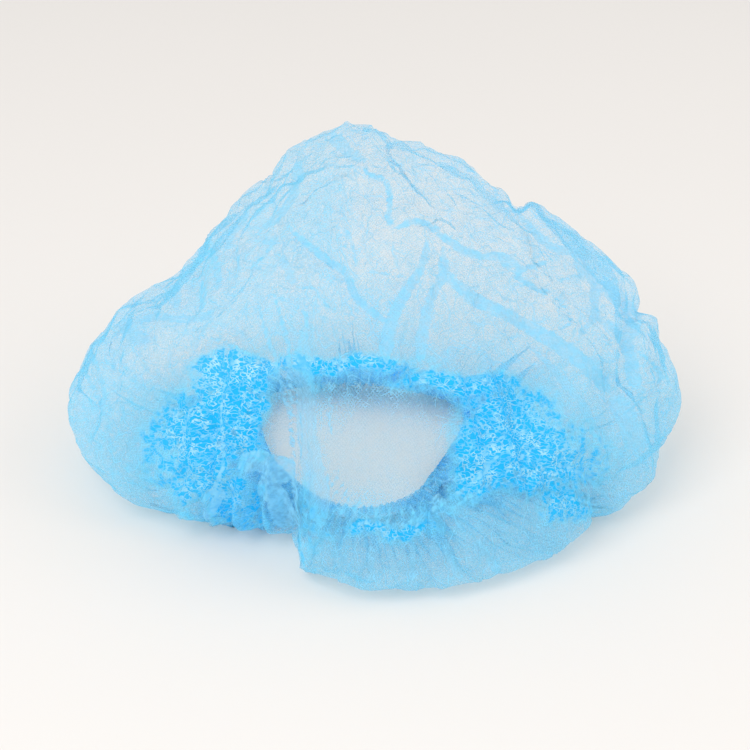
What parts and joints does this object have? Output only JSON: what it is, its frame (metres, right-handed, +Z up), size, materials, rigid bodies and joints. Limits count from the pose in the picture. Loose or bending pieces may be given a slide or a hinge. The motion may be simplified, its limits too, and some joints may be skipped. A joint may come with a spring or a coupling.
{
  "type": "bouffant nurse cap",
  "caption": "Puffed cap of thin non-woven cloth, gathered on an elastic loop round the head opening and standing on that hem.",
  "frame": {"origin": "on the table, under the middle of the crown's box", "axes": "+Z up from the table through the head opening to the top of the crown, -Y the front, where the cloth spills lowest, +X the longer side of the crown"},
  "size_m": [0.3022, 0.2466, 0.1701],
  "materials": {
    "nonwoven_sheet": "translucent spunbond cloth, matte, with small bond points",
    "elastic": "matte woven elastic"
  },
  "bodies": {
    "root": {"crown_sheet": "nonwoven_sheet", "elastic_band": "elastic"}
  },
  "joints": []
}
